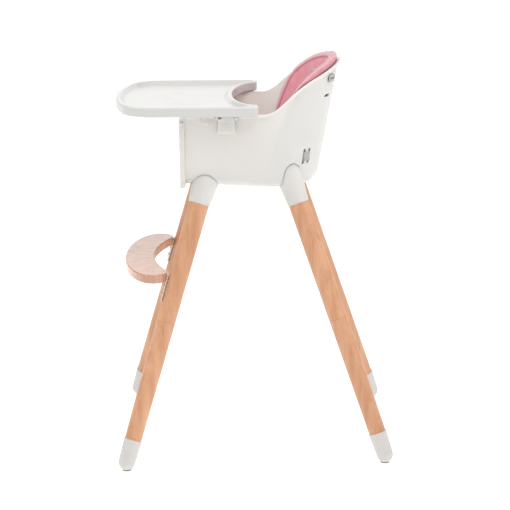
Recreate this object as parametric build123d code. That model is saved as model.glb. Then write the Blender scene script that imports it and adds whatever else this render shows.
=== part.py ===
from build123d import *
import math
import os

os.makedirs("parts", exist_ok=True)

# Baby high chair. Millimetres, +Z up, the chair faces -Y.
# The origin is on the floor under the middle of the chair, and +X is the chair's own left side.

# ---------------------------------------------------------------- driving dimensions
CLEAR = 0.5                     # gap between a soft piece and its neighbour
FIT = 0.05                      # radial gap between a stud or screw and its hole

# Legs: the centre of each rounded foot and the centre of each socket's lower end
FRONT_FOOT = (278.0, -287.0)
REAR_FOOT = (240.0, 290.5)
FRONT_SOCKET = (145.0, -122.0, 576.0)
REAR_SOCKET = (131.0, 100.0, 573.0)
FOOT_RADIUS = 18.5
FOOT_PAD_HEIGHT = 3.0
CAP_LENGTH = 52.0               # from the foot's centre up the leg
LEG_RADIUS_LOW = 19.0
LEG_RADIUS_HIGH = 22.7
LEG_JOINT = 323.0               # where the lower and the upper leg meet, from the foot's centre
LEG_TENON = 28.0                # how far the leg goes into its socket
TENON_RADIUS = 21.5
CAP_TOP_RADIUS = 20.4
CAP_TENON = (17.0, 15.0)        # where the leg's lower tenon ends inside the cap, and its radius
STUD_RADIUS = 4.0
STUD_REACH = 32.0               # how far the joint stud goes into each length
INSERT_RADIUS = 6.0
PAD_RADIUS, PAD_STEM = 9.8, 4.0

# Leg sockets: the radius at the open end, then the widest radius and how far up it is
SOCKET_MOUTH = 24.0
FRONT_SOCKET_WIDEST = (29.5, 50.0)
FRONT_DOME = 26.0
REAR_SOCKET_WIDEST = (32.6, 112.0)
SOCKET_SCREWS = [(113.0, -119.0), (114.0, -92.0), (103.0, 74.0), (92.0, 91.0)]
SCREW_RADIUS, SCREW_LENGTH = 2.0, 14.0
SCREW_HEAD = (4.2, 2.5)

# Seat shell
SHELL_T = 3.6
SHELL_FRONT = -163.0
SIDE_WIDTH, SIDE_SLOPE = 178.0, 0.178       # half width at the arm height, and its growth with height
BACK_Y, BACK_SLOPE = 176.0, 0.184           # back's middle at the arm height, and its lean
ARM_Z = 780.0
BACK_START = 30.0               # where the straight sides turn into the round back
SHELL_TOP = 905.0
FLOOR_Z, FLOOR_SLOPE = 611.6, 0.054         # underside of the seat on the Z axis, and its fall to the rear
FLOOR_FILLET = 28.0
LIP_OUT, LIP_HEIGHT = 4.0, 7.0
FLANGE_OUT, FLANGE_DEPTH, APRON_DROP = 6.0, 11.0, 11.0
ARM_CORNER = 12.0               # round corner at the front of the rim
ARM_REAR = 20.0                 # where the level arm starts to sweep up
# The rim behind that: Y, and height above the arm
RIM_SWEEP = [(60.0, 17.0), (108.0, 58.0), (155.0, 82.0), (215.0, 109.0)]
SHOULDER_SLIT = (30.0, 6.0)
WAIST_SLIT = (8.0, 36.0)
CROTCH_SLOT = ((-14.0, 14.0), (-53.0, -47.0))

# Tray
TRAY_HALF_WIDTH = 217.0
TRAY_FRONT, TRAY_REAR = -309.0, 11.0
TRAY_BOTTOM, TRAY_TOP = 782.0, 802.5
TRAY_FRONT_ARC = 600.0
TRAY_CORNER = 76.0
BELLY_HALF_WIDTH, BELLY_DEPTH = 177.0, 58.0
RIM_WIDTH, RIM_HEIGHT = 9.0, 8.0
TRAY_T = 3.0
RIB_T, RIB_DEPTH = 2.4, 3.0
RIB_X = (-120.0, -60.0, 0.0, 60.0, 120.0)
RIB_Y = (-90.0, -150.0, -210.0, -260.0)

# Tray rails and latches
RAIL_INNER, RAIL_OUTER = 183.0, 190.5
RAIL_FRONT, RAIL_REAR = -145.0, 4.0
RAIL_BOTTOM = 775.5
RAIL_SCREWS = (-130.0, -12.0)
HOOK_Y = (-112.0, -100.0)       # the rail's hook, which runs under the shell's lip
HOOK_INNER = 179.2
HOOK_Z = (765.0, 772.4)
HOOK_STEM_LOW = 760.0
EAR_LOW, EAR_OUTER, EAR_T = 771.5, 194.5, 5.0
# The way through the flange for the hooks: its inner X, low Z and high Z
PASSAGE = (178.6, 763.5, 773.2)
RAIL_PASSAGE = 182.5            # inner X of the way through for the rail's body
LATCH_Y = -59.0
LATCH_WIDTH = 36.0
LATCH_PIVOT = (189.0, 777.0)
LATCH_BOTTOM = 740.0
LATCH_BARREL = 3.6
# The latch in the XZ plane: a hanging paddle with a hook under the shell's lip
LATCH_POINTS = [(185.6, 777.0), (185.6, 770.8), (179.0, 770.8), (180.4, 766.5), (182.6, 765.0),
                (178.5, 743.0), (179.5, LATCH_BOTTOM), (186.5, LATCH_BOTTOM), (189.5, 765.0), (192.4, 777.0)]
PIN_RADIUS = 1.5
RAIL_SCREW_RADIUS = 1.5
SPRING_PITCH, SPRING_HEIGHT, SPRING_RADIUS, WIRE_RADIUS = 1.1, 6.6, 2.5, 0.35

# Pads
PAD_T = 22.0
SEAT_CUSHION_T = 30.0
PAD_TOP = 896.0
SEAT_EDGE = 6.0
# The back pad's front edge in the YZ plane
PAD_EDGE = [(26.0, 630.0), (54.0, 742.0), (85.0, 819.0), (113.0, 851.5), (149.0, 877.0), (193.0, PAD_TOP)]
PAD_SHOULDER_SLOT = (36.0, 6.0)
PAD_WAIST_SLOT = (28.0, 32.0)

# Harness
STRAP_WIDTH, STRAP_T = 20.0, 1.6
SHOULDER_SLOT = (80.0, 847.0)
LOWER_SLOT_Z = 808.0
WAIST_SLOT = (115.0, 118.0, 677.0)
WAIST_NORMAL = (0.637, 0.771, 0.0)
WAIST_BAR = 8.5                 # from the middle of the moulded bar to each slit beside it
BUCKLE = (0.0, -18.0, 672.0)
BUCKLE_TILT = 30.0              # the buckle's face leans forward from straight up, degrees
BUCKLE_W, BUCKLE_H, BUCKLE_T = 52.0, 50.0, 17.0
BUTTON_RADIUS = 11.0
BUTTON_PROUD = 2.0
TONGUE_Z = (-4.9, -2.3)         # the tongues' lower and upper faces, from the middle of the buckle
SHOULDER_RUN = (-56.0, -196.0)  # plan direction of a left shoulder strap, from its slot to the buckle
SHOULDER_START_Y = 178.0
# The shoulder strap below its slot: distance along that direction, and height
SHOULDER_PATH = [(39.5, 846.2), (67.5, 672.0), (122.0, 650.5), (168.4, 682.9)]
SLIDER_AT = (53.9, 758.0)
WAIST_END = (47.5, -1.0)
CROTCH_PATH = [(-50.8, 607.5), (-50.8, 653.0), (-36.5, 661.3)]
KEEPER_SIZE, KEEPER_T = (36.0, 17.0, 6.0), 2.5

# Footrest
FOOTREST_TOP, FOOTREST_T = 429.5, 20.0
FOOTREST_HALF_WIDTH = 211.0
FOOTREST_FRONT, FOOTREST_WIDEST_Y = -296.0, -226.0
FOOTREST_TIP = (187.0, 168.0, -193.5)
FOOTREST_INNER_Y = -230.0
FOOTREST_SHOULDER = 34.7        # radius from the widest place round to each tip
FOOTREST_EDGE = 3.0
BRACKET_T = 2.4
BRACKET_SLOT = (66.0, 15.0)
BRACKET_DROP = 22.0             # the bracket's middle below the underside of the board
BRACKET_LEAF = (171.0, 186.0, -226.0)       # inner X, outer X and front Y of the leaf under the board
BRACKET_SCREWS = (-18.0, -36.0)
BOARD_SCREW_X, BOARD_SCREWS = 178.5, (-206.0, -219.0)

SIDES = {"left": 1, "right": -1}
LEGS = {
    "front_left": (1, FRONT_FOOT, FRONT_SOCKET),
    "front_right": (-1, FRONT_FOOT, FRONT_SOCKET),
    "rear_left": (1, REAR_FOOT, REAR_SOCKET),
    "rear_right": (-1, REAR_FOOT, REAR_SOCKET),
}
pieces = {}


# ---------------------------------------------------------------- small helpers
def cone(low, radius_low, high, radius_high):
    """A turned piece on the Z axis between two heights."""
    height = high - low
    if abs(radius_low - radius_high) < 1e-6:
        body = Cylinder(radius_low, height, align=(Align.CENTER, Align.CENTER, Align.MIN))
    else:
        body = Cone(radius_low, radius_high, height, align=(Align.CENTER, Align.CENTER, Align.MIN))
    return Pos(0, 0, low) * body


def block(x, y, z):
    """A box from three (low, high) pairs."""
    size = Box(x[1] - x[0], y[1] - y[0], z[1] - z[0], align=Align.MIN)
    return Pos(x[0], y[0], z[0]) * size


def mirrored(body, side):
    """The piece itself for the left side, or its mirror image for the right."""
    return body if side > 0 else mirror(body, about=Plane.YZ)


def group(bodies):
    """Several separate solids in one node."""
    return Compound(children=[body.solid() for body in bodies])


def leg_plane(name):
    """A plane at the foot's centre with its Z axis along the leg."""
    side, foot, socket = LEGS[name]
    low = Vector(side * foot[0], foot[1], FOOT_RADIUS)
    high = Vector(side * socket[0], socket[1], socket[2])
    axis = high - low
    return Plane(origin=low, x_dir=Vector(0, 1, 0).cross(axis), z_dir=axis), axis.length


def leg_radius(distance, length):
    """The beech leg tapers evenly from its socket down to its cap."""
    part = (distance - CAP_LENGTH) / (length - CAP_LENGTH)
    return LEG_RADIUS_LOW + part * (LEG_RADIUS_HIGH - LEG_RADIUS_LOW)


# ---------------------------------------------------------------- the seat's own surfaces
def bucket_section(z, inset, front):
    """The seat's plan at one height: straight sides and an elliptical back."""
    half = SIDE_WIDTH + SIDE_SLOPE * (z - ARM_Z) - inset
    back = BACK_Y + BACK_SLOPE * (z - ARM_Z) - inset
    arc = EllipticalCenterArc((0, BACK_START), half, back - BACK_START, 0, arc_size=180)
    sides = Polyline((-half, BACK_START), (-half, front), (half, front), (half, BACK_START))
    return Pos(0, 0, z) * make_face([arc, sides])


def floor_plane(raise_by=0.0):
    return Plane(origin=(0, 0, FLOOR_Z + raise_by), z_dir=(0, FLOOR_SLOPE, 1))


def bucket(inset=0.0, floor_up=0.0, front=SHELL_FRONT, fillet_radius=None):
    """The solid volume inside the seat's outer surface, drawn in by inset and with its floor raised."""
    body = loft([bucket_section(z, inset, front) for z in (ARM_Z - 210, SHELL_TOP)], ruled=True)
    body = split(body, bisect_by=floor_plane(floor_up), keep=Keep.TOP)
    radius = FLOOR_FILLET - max(inset, 0) if fillet_radius is None else fillet_radius
    if radius > 0:
        base = body.faces().sort_by(Axis.Z)[0]
        edges = [e for e in base.edges() if e.center().Y > front + 1]
        body = fillet(edges, radius)
    return body


def side_profile(outline):
    """Extrude a closed outline in the YZ plane across the whole chair."""
    return extrude(Plane.YZ * make_face(outline), amount=300, both=True)


def above_rim(lower_by=0.0):
    """Everything above the shell's rim, which is level at the arms and sweeps up to the back."""
    z = ARM_Z - lower_by
    corner = ARM_CORNER
    start = Line((-400, z - corner), (SHELL_FRONT, z - corner))
    round_corner = RadiusArc((SHELL_FRONT, z - corner), (SHELL_FRONT + corner, z), corner)
    arm = Line((SHELL_FRONT + corner, z), (ARM_REAR, z))
    sweep_points = [(ARM_REAR, z)] + [(y, z + rise) for y, rise in RIM_SWEEP]
    back = Spline(sweep_points, tangents=[(1, 0), (1, 0.45)])
    high = sweep_points[-1][1]
    close = Polyline(sweep_points[-1], (400, high), (400, 1000), (-400, 1000), (-400, z - corner))
    return side_profile([start, round_corner, arm, back, close])


def slot_cutter(width, height, depth, plane):
    """A round-ended slot, cut through along the plane's normal."""
    return extrude(plane * SlotOverall(width, height), amount=depth, both=True)


def shoulder_slot(side, z, width=SHOULDER_SLIT[0], height=SHOULDER_SLIT[1]):
    plane = Plane(origin=(side * SHOULDER_SLOT[0], 165, z), x_dir=(1, 0, 0), z_dir=(0, 1, 0))
    return slot_cutter(width, height, 40, plane)


def waist_slot(side, offset, width, height, depth=25.0):
    """A tall slot in the side of the back, moved along the wall by offset."""
    normal = Vector(side * WAIST_NORMAL[0], WAIST_NORMAL[1], 0)
    along = Vector(-normal.Y, normal.X, 0)
    centre = Vector(side * WAIST_SLOT[0], WAIST_SLOT[1], WAIST_SLOT[2]) + along * offset
    plane = Plane(origin=centre, x_dir=(0, 0, 1), z_dir=normal)
    return slot_cutter(height, width, depth, plane)


def floor_z(y):
    """Height of the seat's underside at y."""
    return FLOOR_Z - FLOOR_SLOPE * y


def build_shell():
    cavity = bucket(SHELL_T, SHELL_T + 0.4, front=-260.0)
    lip = (bucket(-LIP_OUT) - cavity) & above_rim(LIP_HEIGHT)
    flange_zone = block((-300, 300), (SHELL_FRONT, SHELL_FRONT + FLANGE_DEPTH), (500, 1000))
    flange = (bucket(-FLANGE_OUT, -APRON_DROP) - cavity) & flange_zone
    shell = (bucket() - cavity) + lip + flange
    shell -= above_rim()
    inner, low, high = PASSAGE
    front = (SHELL_FRONT - 1, SHELL_FRONT + FLANGE_DEPTH + 1)
    passage = block((inner, 200), front, (low, high)) + block((RAIL_PASSAGE, 200), front, (high - 1, 800))
    for side in SIDES.values():
        shell -= mirrored(passage, side)
        shell -= shoulder_slot(side, SHOULDER_SLOT[1])
        shell -= shoulder_slot(side, LOWER_SLOT_Z)
        for offset in (-WAIST_BAR, WAIST_BAR):
            shell -= waist_slot(side, offset, *WAIST_SLIT)
        for x, y in SOCKET_SCREWS:
            shell -= Pos(side * x, y, floor_z(y)) * Cylinder(SCREW_RADIUS + 0.5 + FIT, 40)
    shell -= block(*CROTCH_SLOT, (590, 640))
    pieces["seat_shell"] = shell


def build_sockets():
    outer = bucket(-FIT, -FIT)
    screws = []
    for name in LEGS:
        side = LEGS[name][0]
        plane, length = leg_plane(name)
        if name.startswith("front"):
            widest, up = FRONT_SOCKET_WIDEST
            side_line = Polyline((0, up + FRONT_DOME), (0, 0), (SOCKET_MOUTH, 0), (widest, up))
            dome = EllipticalCenterArc((0, up), widest, FRONT_DOME, 0, arc_size=90)
            body = revolve(Plane.XZ * make_face([side_line, dome]), Axis.Z)
        else:
            widest, up = REAR_SOCKET_WIDEST
            body = cone(0, SOCKET_MOUTH, up, widest)
        body = chamfer(body.edges().filter_by(GeomType.CIRCLE).sort_by(Axis.Z)[0], 1.2)
        body -= cone(-1, TENON_RADIUS + FIT, LEG_TENON + 0.2, TENON_RADIUS + FIT)
        body -= cone(LEG_TENON, STUD_RADIUS + FIT, LEG_TENON + 11, STUD_RADIUS + FIT)
        socket = plane * Pos(0, 0, length) * body - outer
        for x, y in SOCKET_SCREWS:
            if (y < 0) == name.startswith("front"):
                top = Pos(side * x, y, floor_z(y) + SHELL_T + 0.95)
                socket -= top * cone(-SCREW_LENGTH - 1, SCREW_RADIUS + FIT, 0, SCREW_RADIUS + FIT)
                shank = cone(-SCREW_LENGTH, SCREW_RADIUS, 0, SCREW_RADIUS)
                screws.append(top * (shank + cone(0, SCREW_HEAD[0], SCREW_HEAD[1], SCREW_HEAD[0])))
        parts = socket.solids().sort_by(SortBy.VOLUME)
        pieces[f"{name}_leg_socket"] = parts[-1]
    pieces["socket_screws"] = group(screws)


def build_legs():
    studs = []
    inserts = []
    top_studs = []
    tenon_end, tenon_radius = CAP_TENON
    for name in LEGS:
        plane, length = leg_plane(name)
        middle_radius = leg_radius(LEG_JOINT, length)
        lower = cone(CAP_LENGTH, LEG_RADIUS_LOW, LEG_JOINT, middle_radius)
        lower = chamfer(lower.edges().filter_by(GeomType.CIRCLE).sort_by(Axis.Z)[-1], 0.5)
        lower += cone(tenon_end, tenon_radius, CAP_LENGTH, tenon_radius)
        lower -= cone(LEG_JOINT - STUD_REACH - 2, INSERT_RADIUS + FIT, LEG_JOINT + 1, INSERT_RADIUS + FIT)
        upper = cone(LEG_JOINT, middle_radius, length, LEG_RADIUS_HIGH)
        upper = chamfer(upper.edges().filter_by(GeomType.CIRCLE).sort_by(Axis.Z)[0], 0.5)
        upper += cone(length, TENON_RADIUS, length + LEG_TENON, TENON_RADIUS)
        upper -= cone(LEG_JOINT - 1, STUD_RADIUS + FIT, LEG_JOINT + STUD_REACH + 2, STUD_RADIUS + FIT)
        upper -= cone(length - 12, STUD_RADIUS + FIT, length + LEG_TENON + 1, STUD_RADIUS + FIT)
        cap = cone(0, FOOT_RADIUS, CAP_LENGTH, CAP_TOP_RADIUS) + Sphere(FOOT_RADIUS)
        cap -= cone(tenon_end - 0.5, tenon_radius + FIT, CAP_LENGTH + 1, tenon_radius + FIT)
        cap = fillet(cap.edges().filter_by(GeomType.CIRCLE).sort_by(Axis.Z)[-1], 0.8)
        cap = plane * cap
        foot = Pos(plane.origin.X, plane.origin.Y, 0)
        cap -= foot * cone(-5, 30, FOOT_PAD_HEIGHT, 30)
        cap -= foot * cone(FOOT_PAD_HEIGHT - 1, PAD_STEM + FIT, 9.2, PAD_STEM + FIT)
        disc = fillet(cone(0, PAD_RADIUS, FOOT_PAD_HEIGHT, PAD_RADIUS).edges().sort_by(Axis.Z)[0], 0.9)
        pad = foot * (disc + cone(FOOT_PAD_HEIGHT, PAD_STEM, 9, PAD_STEM))
        insert = cone(LEG_JOINT - 26, INSERT_RADIUS, LEG_JOINT - 1, INSERT_RADIUS)
        insert -= cone(LEG_JOINT - 30, STUD_RADIUS + FIT, LEG_JOINT, STUD_RADIUS + FIT)
        pieces[f"{name}_lower_leg"] = plane * lower
        pieces[f"{name}_upper_leg"] = plane * upper
        pieces[f"{name}_foot_cap"] = cap
        pieces[f"{name}_foot_pad"] = pad
        studs.append(plane * cone(LEG_JOINT - STUD_REACH, STUD_RADIUS, LEG_JOINT + STUD_REACH, STUD_RADIUS))
        inserts.append(plane * insert)
        top_studs.append(plane * cone(length - 11, STUD_RADIUS, length + LEG_TENON + 10, STUD_RADIUS))
    pieces["leg_joint_studs"] = group(studs)
    pieces["leg_joint_inserts"] = group(inserts)
    pieces["leg_top_studs"] = group(top_studs)


# ---------------------------------------------------------------- footrest
def build_footrest():
    outer_x, inner_x, tip_y = FOOTREST_TIP
    half = FOOTREST_HALF_WIDTH
    depth = FOOTREST_WIDEST_Y - FOOTREST_FRONT
    front = EllipticalCenterArc((0, FOOTREST_WIDEST_Y), half, depth, 180, arc_size=180)
    right = RadiusArc((half, FOOTREST_WIDEST_Y), (outer_x, tip_y), -FOOTREST_SHOULDER)
    left = RadiusArc((-outer_x, tip_y), (-half, FOOTREST_WIDEST_Y), -FOOTREST_SHOULDER)
    inner = ThreePointArc((inner_x, tip_y), (0, FOOTREST_INNER_Y), (-inner_x, tip_y))
    right_end = Line((outer_x, tip_y), (inner_x, tip_y))
    left_end = Line((-inner_x, tip_y), (-outer_x, tip_y))
    outline = make_face([front, right, right_end, inner, left_end, left])
    underside = FOOTREST_TOP - FOOTREST_T
    board = Pos(0, 0, underside) * extrude(outline, FOOTREST_T)
    board = fillet(board.faces().sort_by(Axis.Z)[-1].edges(), FOOTREST_EDGE)
    board = fillet(board.faces().sort_by(Axis.Z)[0].edges(), FOOTREST_EDGE)
    screws = []
    for word, side in SIDES.items():
        plane, length = leg_plane(f"front_{word}")
        axis = plane.z_dir
        normal = (Vector(0, -1, 0) - axis * Vector(0, -1, 0).dot(axis)).normalized()
        distance = (underside - FOOT_RADIUS) / axis.Z
        centre = plane.origin + axis * distance + normal * (leg_radius(distance, length) + 0.3)
        face = Plane(origin=centre, x_dir=axis, z_dir=normal)
        upright = extrude(face * Pos(-BRACKET_DROP, 0) * SlotOverall(*BRACKET_SLOT), BRACKET_T)
        inner, outer, front_y = BRACKET_LEAF
        leaf_z = (underside - 0.1 - BRACKET_T, underside - 0.1)
        leaf = block((inner, outer), (front_y, centre.Y - 3.2), leaf_z)
        bracket = upright + mirrored(leaf, side)
        for along in BRACKET_SCREWS:
            hole = face * Pos(along, 0) * cone(-22, SCREW_RADIUS + FIT, 18, SCREW_RADIUS + FIT)
            bracket -= hole
            pieces[f"front_{word}_upper_leg"] -= hole
            head = cone(BRACKET_T + 0.1, 4.4, BRACKET_T + 2.2, 3.4)
            shank = cone(-18, SCREW_RADIUS, BRACKET_T + 0.1, SCREW_RADIUS)
            screws.append(face * Pos(along, 0) * (head + shank))
        for y in BOARD_SCREWS:
            place = Pos(side * BOARD_SCREW_X, y, underside)
            bore = place * cone(-5, 1.8 + FIT, 14, 1.8 + FIT)
            bracket -= bore
            board -= bore
            screws.append(place * (cone(-4.8, 3.0, -2.7, 3.8) + cone(-2.8, 1.8, 13, 1.8)))
        board -= upright
        pieces[f"footrest_bracket_{word}"] = bracket
    pieces["footrest_board"] = board
    pieces["footrest_screws"] = group(screws)


# ---------------------------------------------------------------- tray, rails and latches
def tray_outline(inset, horn_radius):
    """The tray's plan: a shallow front arc, round corners and the belly cut-out between two horns."""
    half = TRAY_HALF_WIDTH - inset
    front = TRAY_FRONT + inset
    rear = TRAY_REAR - inset
    radius = TRAY_FRONT_ARC - inset
    corner_y = front + radius - math.sqrt(radius ** 2 - half ** 2)
    arc = ThreePointArc((half, corner_y), (0, front), (-half, corner_y))
    sides = Polyline((-half, corner_y), (-half, rear), (half, rear), (half, corner_y))
    plate = make_face([arc, sides])
    plate -= Pos(0, TRAY_REAR) * Ellipse(BELLY_HALF_WIDTH + inset, BELLY_DEPTH + inset)
    plate = fillet([v for v in plate.vertices() if v.Y < corner_y + 1], TRAY_CORNER - inset)
    return fillet([v for v in plate.vertices() if v.Y > rear - 1], horn_radius)


def build_tray():
    body = Pos(0, 0, TRAY_BOTTOM) * extrude(tray_outline(0, 9.0), TRAY_TOP - TRAY_BOTTOM)
    body = fillet(body.faces().sort_by(Axis.Z)[-1].edges(), 3.5)
    body = fillet(body.faces().sort_by(Axis.Z)[0].edges(), 2.0)
    rim_edge = Pos(0, 0, TRAY_TOP) * tray_outline(RIM_WIDTH, 6.0)
    well_edge = Pos(0, 0, TRAY_TOP - RIM_HEIGHT) * tray_outline(RIM_WIDTH + RIM_HEIGHT, 6.0)
    body -= loft([rim_edge, well_edge], ruled=True)
    ceiling = TRAY_TOP - RIM_HEIGHT - TRAY_T
    hollow = Pos(0, 0, TRAY_BOTTOM) * extrude(tray_outline(TRAY_T, 6.0), ceiling - TRAY_BOTTOM)
    for side in SIDES.values():
        seat_strip = block((RAIL_INNER - 6, RAIL_OUTER + 6), (-400, 100), (700, 900))
        hollow -= mirrored(seat_strip, side)
    rib_z = (ceiling - RIB_DEPTH, ceiling + 1)
    for y in RIB_Y:
        hollow -= block((-300, 300), (y - RIB_T / 2, y + RIB_T / 2), rib_z)
    for x in RIB_X:
        hollow -= block((x - RIB_T / 2, x + RIB_T / 2), (-400, 100), rib_z)
    body -= hollow
    pieces["tray"] = body


def build_rails_and_latches():
    low_y, high_y = LATCH_Y - LATCH_WIDTH / 2, LATCH_Y + LATCH_WIDTH / 2
    pivot_x, pivot_z = LATCH_PIVOT
    ceiling = TRAY_BOTTOM - 0.1
    pins = []
    springs = []
    screws = []
    for word, side in SIDES.items():
        rail = block((RAIL_INNER, RAIL_OUTER), (RAIL_FRONT, RAIL_REAR), (RAIL_BOTTOM, ceiling))
        rail -= block((180, 200), (low_y - 0.5, high_y + 0.5), (770, ceiling - 1.3))
        rail += block((RAIL_INNER + 0.5, RAIL_OUTER - 1.5), HOOK_Y, (HOOK_STEM_LOW, RAIL_BOTTOM))
        rail += block((HOOK_INNER, RAIL_INNER + 1), HOOK_Y, HOOK_Z)
        for y in (low_y - EAR_T - 0.5, high_y + 0.5):
            rail += block((RAIL_INNER + 0.5, EAR_OUTER), (y, y + EAR_T), (EAR_LOW, ceiling))
        for y in RAIL_SCREWS:
            place = Pos((RAIL_INNER + RAIL_OUTER) / 2, y, RAIL_BOTTOM)
            radius = RAIL_SCREW_RADIUS
            rail -= place * (cone(-1, radius + FIT, 8, radius + FIT) + cone(-0.1, 2.8, 1.7, radius + FIT))
            screw = place * (cone(0, 2.6, 1.5, radius) + cone(1.5, radius, 14, radius))
            pieces["tray"] -= mirrored(place * cone(6, radius + FIT, 14.2, radius + FIT), side)
            screws.append(mirrored(screw, side))
        turn = Plane(origin=(pivot_x, low_y - 6, pivot_z), z_dir=(0, 1, 0))
        length = LATCH_WIDTH + 12
        rail -= turn * cone(-1, PIN_RADIUS + FIT, length + 1, PIN_RADIUS + FIT)
        outline = make_face(Polyline(*LATCH_POINTS, close=True))
        paddle = Pos(0, LATCH_Y, 0) * extrude(Plane.XZ * outline, LATCH_WIDTH / 2, both=True)
        paddle += turn * cone(6, LATCH_BARREL, length - 6, LATCH_BARREL)
        paddle -= turn * cone(0, PIN_RADIUS + FIT, length, PIN_RADIUS + FIT)
        paddle -= turn * cone(5, LATCH_BARREL + 0.2, 14, LATCH_BARREL + 0.2)
        coil = Helix(pitch=SPRING_PITCH, height=SPRING_HEIGHT, radius=SPRING_RADIUS)
        wire = sweep(Plane(origin=coil @ 0, z_dir=coil % 0) * Circle(WIRE_RADIUS), path=coil)
        springs.append(mirrored(turn * Pos(0, 0, 6.6) * wire, side))
        pin = turn * cone(0.5, PIN_RADIUS, length - 0.5, PIN_RADIUS)
        pieces[f"tray_rail_{word}"] = mirrored(rail, side)
        pieces[f"tray_latch_{word}"] = mirrored(paddle, side)
        pins.append(mirrored(pin, side))
    pieces["latch_pins"] = group(pins)
    pieces["latch_springs"] = group(springs)
    pieces["tray_rail_screws"] = group(screws)


# ---------------------------------------------------------------- pads
def build_pads():
    gap = SHELL_T + CLEAR
    seat_top = gap + SEAT_CUSHION_T + 0.4
    seat = bucket(gap, gap + 0.4, front=SHELL_FRONT + 12)
    seat = split(seat, bisect_by=floor_plane(seat_top), keep=Keep.BOTTOM)
    seat = fillet(seat.faces().sort_by(Axis.Z)[-1].edges(), SEAT_EDGE)
    seat -= block(*CROTCH_SLOT, (590, 700))
    for side in SIDES.values():
        for x, y in SOCKET_SCREWS:
            seat -= Pos(side * x, y, floor_z(y)) * cone(0, 5, SHELL_T + 5, 5)
    back = bucket(gap, gap, front=-30) - bucket(gap + PAD_T, gap, front=-60, fillet_radius=0)
    back = split(back, bisect_by=floor_plane(seat_top + CLEAR), keep=Keep.TOP)
    front_edge = Spline(PAD_EDGE, tangents=[(0.3, 1), (1, 0.4)])
    rest = Polyline(PAD_EDGE[-1], (260, PAD_TOP), (260, PAD_EDGE[0][1]), PAD_EDGE[0])
    back &= side_profile([front_edge, rest])
    for side in SIDES.values():
        back -= shoulder_slot(side, SHOULDER_SLOT[1], *PAD_SHOULDER_SLOT)
        back -= shoulder_slot(side, LOWER_SLOT_Z, *PAD_SHOULDER_SLOT)
        back -= waist_slot(side, 0, *PAD_WAIST_SLOT, 40)
    pieces["seat_cushion"] = seat
    pieces["back_cushion"] = back


# ---------------------------------------------------------------- harness
def ribbon(plane, points, radii, width, thickness=STRAP_T):
    """Flat webbing: a bent line of straight runs and arcs, with the plane's normal across its width."""
    line = FilletPolyline(*points, radius=radii)
    outline = offset(line, amount=thickness, side=Side.LEFT, closed=True)
    return extrude(plane * make_face(outline), width / 2, both=True)


def keeper(plane):
    """A rounded plate with one slot, which holds the end of a strap."""
    plate = RectangleRounded(*KEEPER_SIZE) - SlotOverall(26, 4)
    return extrude(plane * plate, KEEPER_T)


def buckle_face():
    tilt = math.radians(BUCKLE_TILT)
    return Plane(origin=BUCKLE, x_dir=(1, 0, 0), z_dir=(0, -math.sin(tilt), math.cos(tilt)))


def build_buckle():
    face = buckle_face()
    front = BUCKLE_T / 2
    body = extrude(RectangleRounded(BUCKLE_W, BUCKLE_H, 12), front, both=True)
    body = fillet(body.faces().sort_by(Axis.Z)[-1].edges(), 3)
    body = fillet(body.faces().sort_by(Axis.Z)[0].edges(), 3)
    body -= cone(front - 9, BUTTON_RADIUS + 0.3, front + 1, BUTTON_RADIUS + 0.3)
    body -= Pos(0, -24) * Box(24, 14, 4.4)
    low, high = TONGUE_Z
    blade = block((13, 27), (1, 19), TONGUE_Z)
    frame = block((27, 47), (1, 36), TONGUE_Z) + block((20, 47), (27, 36), TONGUE_Z)
    shoulder_hole = block((22, 44), (30.5, 33.5), (-6, 0))
    waist_hole = block((41, 44), (4, 26), (-6, 0))
    tongue = blade + frame - shoulder_hole - waist_hole
    for word, side in SIDES.items():
        body -= mirrored(block((12.5, 30), (0.5, 19.5), (low - 0.3, high + 0.3)), side)
        pieces[f"buckle_tongue_{word}"] = face * mirrored(tongue, side)
    button = cone(front - 5.5, BUTTON_RADIUS, front + BUTTON_PROUD, BUTTON_RADIUS)
    button = fillet(button.edges().sort_by(Axis.Z)[-1], 1.2)
    washer = cone(front - 8.9, 8, front - 8.7, 8) - cone(front - 9, 5, front - 8, 5)
    pieces["buckle_body"] = face * body
    pieces["buckle_button"] = face * button
    pieces["buckle_spring_washer"] = face * washer


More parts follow.
